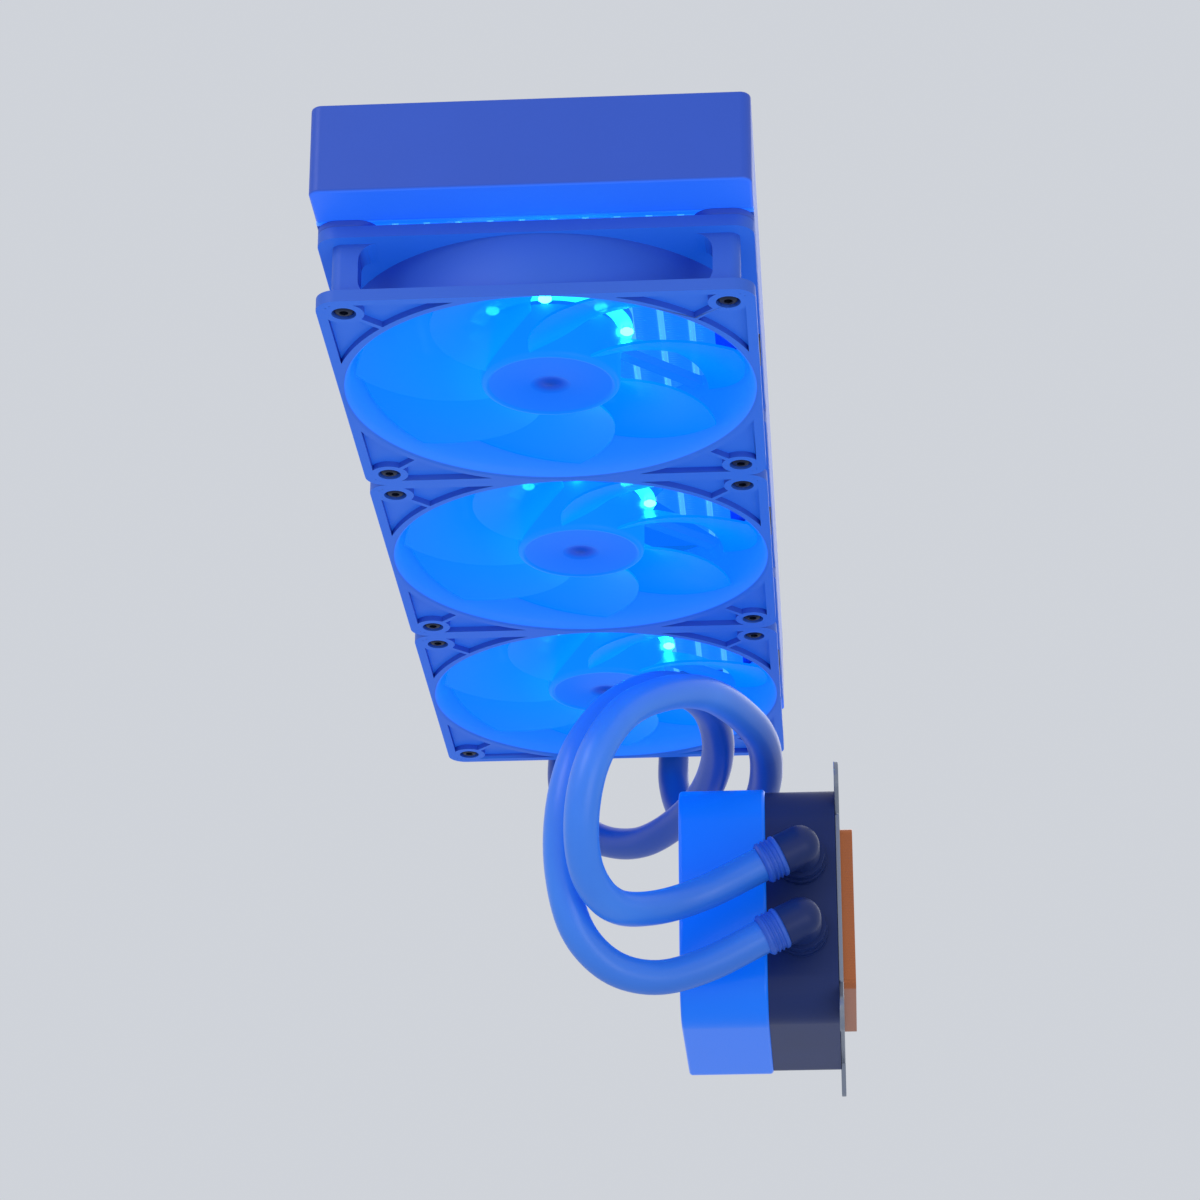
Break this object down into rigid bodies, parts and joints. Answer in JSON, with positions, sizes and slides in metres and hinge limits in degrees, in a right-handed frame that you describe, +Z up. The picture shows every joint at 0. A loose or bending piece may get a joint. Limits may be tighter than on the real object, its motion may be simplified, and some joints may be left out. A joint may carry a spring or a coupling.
{
  "type": "liquid cooling radiator",
  "caption": "Closed liquid cooling loop for a computer: a long finned radiator with a row of axial fans under it, two hoses and a pump head with a cold plate.",
  "frame": {"origin": "centre of the radiator top face, in the middle of the middle fan bay roof screw pattern", "axes": "+Z up out of the radiator face that bolts to a roof panel, +Y along the radiator towards the end tank with the hose ports, +X across it towards the pump cold plate"},
  "size_m": [0.143, 0.4005, 0.188],
  "materials": {
    "rail_paint": "satin powder coat",
    "tank_paint": "satin powder coat",
    "core_aluminium": "brazed mill finish",
    "nickel_fitting": "nickel plated",
    "black_rubber": "matt",
    "black_screw": "black zinc",
    "black_plastic": "fine moulded texture",
    "hose_rubber": "smooth satin",
    "collar_plastic": "satin",
    "white_plastic": "satin moulded",
    "frosted_window": "frosted diffuser",
    "circuit_board": "solder mask",
    "copper_winding": "enamelled wire",
    "ceramic_shaft": "polished ceramic",
    "ferrite": "sintered",
    "copper_plate": "milled copper",
    "steel_screw": "turned",
    "bracket_steel": "nickel plated sheet",
    "frame_plastic": "fine moulded texture",
    "blade_plastic": "translucent moulded",
    "bearing_bronze": "sintered bronze",
    "led_light": "lit diodes on a ring board",
    "pad_rubber": "soft rubber"
  },
  "bodies": {
    "cooler": {"side_rail_left": "rail_paint", "side_rail_right": "rail_paint", "flat_tubes": "core_aluminium", "fin_strips": "core_aluminium", "header_front": "core_aluminium", "header_rear": "core_aluminium", "end_tank_front": "tank_paint", "end_tank_rear": "tank_paint", "tank_baffle": "core_aluminium", "fill_plug": "nickel_fitting", "fill_plug_seal": "black_rubber", "tank_barbs": "nickel_fitting", "fan_screws": "black_screw", "fan_frame_front": "frame_plastic", "fan_frame_middle": "frame_plastic", "fan_frame_rear": "frame_plastic", "fan_stator_front": "copper_winding", "fan_stator_middle": "copper_winding", "fan_stator_rear": "copper_winding", "fan_bearing_front": "bearing_bronze", "fan_bearing_middle": "bearing_bronze", "fan_bearing_rear": "bearing_bronze", "fan_led_ring_front": "led_light", "fan_led_ring_middle": "led_light", "fan_led_ring_rear": "led_light", "corner_pads_front": "pad_rubber", "corner_pads_middle": "pad_rubber", "corner_pads_rear": "pad_rubber", "lead_sockets": "black_plastic", "hose_supply": "hose_rubber", "hose_return": "hose_rubber", "hose_ferrules": "collar_plastic", "pump_cap": "white_plastic", "pump_window": "frosted_window", "pump_circuit_board": "circuit_board", "pump_stator": "copper_winding", "pump_body": "black_plastic", "chamber_cover": "black_plastic", "pump_shaft": "ceramic_shaft", "pump_seal": "black_rubber", "cold_plate": "copper_plate", "cold_plate_screws": "steel_screw", "pump_bracket": "bracket_steel", "elbow_upper": "black_plastic", "elbow_lower": "black_plastic"},
    "front_fan_rotor": {"fan_rotor_front": "blade_plastic", "fan_shaft_front": "steel_screw", "fan_magnet_front": "ferrite"},
    "middle_fan_rotor": {"fan_rotor_middle": "blade_plastic", "fan_shaft_middle": "steel_screw", "fan_magnet_middle": "ferrite"},
    "rear_fan_rotor": {"fan_rotor_rear": "blade_plastic", "fan_shaft_rear": "steel_screw", "fan_magnet_rear": "ferrite"},
    "pump_rotor": {"pump_impeller": "white_plastic", "pump_magnet": "ferrite"}
  },
  "joints": [
    {"name": "front_fan_spin", "type": "hinge", "parent": "cooler", "child": "front_fan_rotor", "pos_m": [0, -0.12, -0.045], "axis": [0, 0, 1], "continuous": true},
    {"name": "middle_fan_spin", "type": "hinge", "parent": "cooler", "child": "middle_fan_rotor", "pos_m": [0, 0, -0.045], "axis": [0, 0, 1], "continuous": true},
    {"name": "rear_fan_spin", "type": "hinge", "parent": "cooler", "child": "rear_fan_rotor", "pos_m": [0, 0.12, -0.045], "axis": [0, 0, 1], "continuous": true},
    {"name": "pump_spin", "type": "hinge", "parent": "cooler", "child": "pump_rotor", "pos_m": [0.055, 0.104, -0.143], "axis": [1, 0, 0], "continuous": true}
  ]
}
